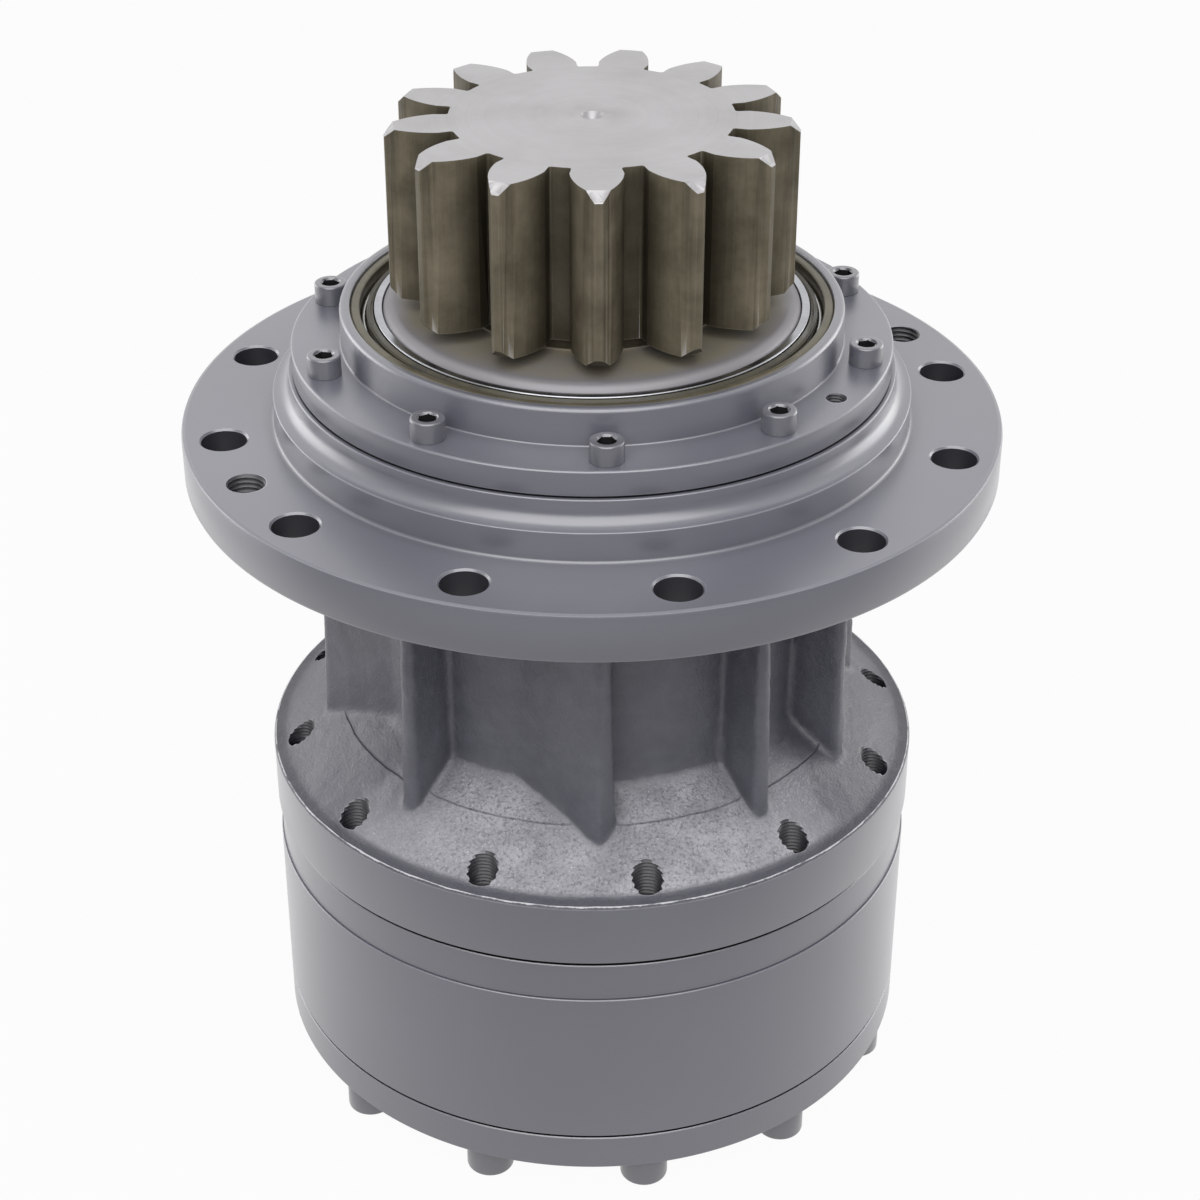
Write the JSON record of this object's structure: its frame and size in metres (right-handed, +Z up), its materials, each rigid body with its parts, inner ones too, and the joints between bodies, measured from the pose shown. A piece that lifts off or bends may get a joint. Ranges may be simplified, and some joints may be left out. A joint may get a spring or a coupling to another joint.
{
  "type": "excavator swing gearbox",
  "caption": "Two-stage planetary swing gearbox with a flanged ribbed casting, an output pinion on top and a motor mounting face underneath.",
  "frame": {"origin": "on the main axis, at the level of the undersides of the bottom bolt heads", "axes": "+Z up the main axis towards the output pinion; -Y is the side seen in the picture"},
  "size_m": [0.3999, 0.4, 0.512],
  "materials": {
    "cast_paint": "satin blue-grey paint over as-cast iron",
    "machine_paint": "satin blue-grey paint over turned faces",
    "screw_paint": "satin paint, bare black sockets",
    "pinion_steel": "ground and hobbed bare steel",
    "polished_steel": "polished hardened sleeve",
    "bearing_steel": "ground bearing steel",
    "gear_steel": "ground gear flanks, oiled",
    "carrier_iron": "machined nodular iron",
    "seal_metal": "pressed seal case",
    "seal_rubber": "matt olive seal rubber",
    "black_rubber": "matt nitrile rubber",
    "bronze": "plain bearing bronze"
  },
  "bodies": {
    "housing": {"main_housing": "cast_paint", "seal_cover": "machine_paint", "seal_cover_screws": "screw_paint", "seal_cover_o_ring": "black_rubber", "oil_seal_case": "seal_metal", "oil_seal_lip": "seal_rubber", "oil_seal_spring": "bearing_steel", "upper_bearing_cup": "bearing_steel", "lower_bearing_cup": "bearing_steel", "spacer_ring": "machine_paint", "ring_gear": "machine_paint", "motor_cover": "machine_paint", "drum_bolts": "screw_paint", "drum_o_rings": "black_rubber", "dowel_pins": "bearing_steel", "drain_plug": "screw_paint", "drain_plug_washer": "bronze", "cover_thrust_washer": "bronze"},
    "output": {"pinion_shaft": "pinion_steel", "seal_wear_sleeve": "polished_steel", "upper_bearing_cone": "bearing_steel", "lower_bearing_cone": "bearing_steel", "bearing_spacer": "gear_steel", "stage2_carrier": "carrier_iron", "stage2_planet_pins": "bearing_steel", "stage2_pin_locks": "bearing_steel", "stage2_planet_washers": "bronze", "shaft_end_plate": "gear_steel", "shaft_end_bolts": "gear_steel"},
    "upper_rollers": {"upper_bearing_rollers": "bearing_steel", "upper_bearing_cage": "seal_metal"},
    "lower_rollers": {"lower_bearing_rollers": "bearing_steel", "lower_bearing_cage": "seal_metal"},
    "intermediate": {"stage2_sun_gear": "gear_steel", "sun_snap_ring": "gear_steel", "stage1_carrier": "carrier_iron", "stage1_planet_pins": "bearing_steel", "stage1_pin_locks": "bearing_steel", "stage1_planet_washers": "bronze", "carrier_thrust_washer": "bronze"},
    "input": {"stage1_sun_gear": "gear_steel", "input_thrust_washer": "bronze"},
    "stage1_planet_1": {"stage1_planet_gear_1": "gear_steel", "stage1_planet_bush_1": "bronze"},
    "stage1_planet_2": {"stage1_planet_gear_2": "gear_steel", "stage1_planet_bush_2": "bronze"},
    "stage1_planet_3": {"stage1_planet_gear_3": "gear_steel", "stage1_planet_bush_3": "bronze"},
    "stage2_planet_1": {"stage2_planet_gear_1": "gear_steel", "stage2_planet_bush_1": "bronze"},
    "stage2_planet_2": {"stage2_planet_gear_2": "gear_steel", "stage2_planet_bush_2": "bronze"},
    "stage2_planet_3": {"stage2_planet_gear_3": "gear_steel", "stage2_planet_bush_3": "bronze"},
    "stage2_planet_4": {"stage2_planet_gear_4": "gear_steel", "stage2_planet_bush_4": "bronze"}
  },
  "joints": [
    {"name": "pinion_spin", "type": "hinge", "parent": "housing", "child": "output", "pos_m": [0, 0, 0.47], "axis": [0, 0, 1], "continuous": true},
    {"name": "upper_rollers_spin", "type": "hinge", "parent": "housing", "child": "upper_rollers", "pos_m": [0, 0, 0.366], "axis": [0, 0, 1], "continuous": true},
    {"name": "lower_rollers_spin", "type": "hinge", "parent": "housing", "child": "lower_rollers", "pos_m": [0, 0, 0.186], "axis": [0, 0, 1], "continuous": true},
    {"name": "intermediate_spin", "type": "hinge", "parent": "housing", "child": "intermediate", "pos_m": [0, 0, 0.09], "axis": [0, 0, 1], "continuous": true},
    {"name": "input_spin", "type": "hinge", "parent": "housing", "child": "input", "pos_m": [0, 0, 0.045], "axis": [0, 0, 1], "continuous": true},
    {"name": "stage2_planet_1_spin", "type": "hinge", "parent": "output", "child": "stage2_planet_1", "pos_m": [0.084, 0, 0.107], "axis": [0, 0, 1], "continuous": true},
    {"name": "stage2_planet_2_spin", "type": "hinge", "parent": "output", "child": "stage2_planet_2", "pos_m": [0, 0.084, 0.107], "axis": [0, 0, 1], "continuous": true},
    {"name": "stage2_planet_3_spin", "type": "hinge", "parent": "output", "child": "stage2_planet_3", "pos_m": [-0.084, 0, 0.107], "axis": [0, 0, 1], "continuous": true},
    {"name": "stage2_planet_4_spin", "type": "hinge", "parent": "output", "child": "stage2_planet_4", "pos_m": [0, -0.084, 0.107], "axis": [0, 0, 1], "continuous": true},
    {"name": "stage1_planet_1_spin", "type": "hinge", "parent": "intermediate", "child": "stage1_planet_1", "pos_m": [0.084, 0, 0.059], "axis": [0, 0, 1], "continuous": true},
    {"name": "stage1_planet_2_spin", "type": "hinge", "parent": "intermediate", "child": "stage1_planet_2", "pos_m": [-0.042, 0.07275, 0.059], "axis": [0, 0, 1], "continuous": true},
    {"name": "stage1_planet_3_spin", "type": "hinge", "parent": "intermediate", "child": "stage1_planet_3", "pos_m": [-0.042, -0.07275, 0.059], "axis": [0, 0, 1], "continuous": true}
  ],
  "couplings": [
    {"joint": "upper_rollers_spin", "follows": "pinion_spin", "ratio": 0.45924},
    {"joint": "lower_rollers_spin", "follows": "pinion_spin", "ratio": 0.4476},
    {"joint": "intermediate_spin", "follows": "pinion_spin", "ratio": 4.6667},
    {"joint": "input_spin", "follows": "pinion_spin", "ratio": 21.778},
    {"joint": "stage2_planet_1_spin", "follows": "pinion_spin", "ratio": -2.75},
    {"joint": "stage2_planet_2_spin", "follows": "pinion_spin", "ratio": -2.75},
    {"joint": "stage2_planet_3_spin", "follows": "pinion_spin", "ratio": -2.75},
    {"joint": "stage2_planet_4_spin", "follows": "pinion_spin", "ratio": -2.75},
    {"joint": "stage1_planet_1_spin", "follows": "pinion_spin", "ratio": -12.833},
    {"joint": "stage1_planet_2_spin", "follows": "pinion_spin", "ratio": -12.833},
    {"joint": "stage1_planet_3_spin", "follows": "pinion_spin", "ratio": -12.833}
  ]
}
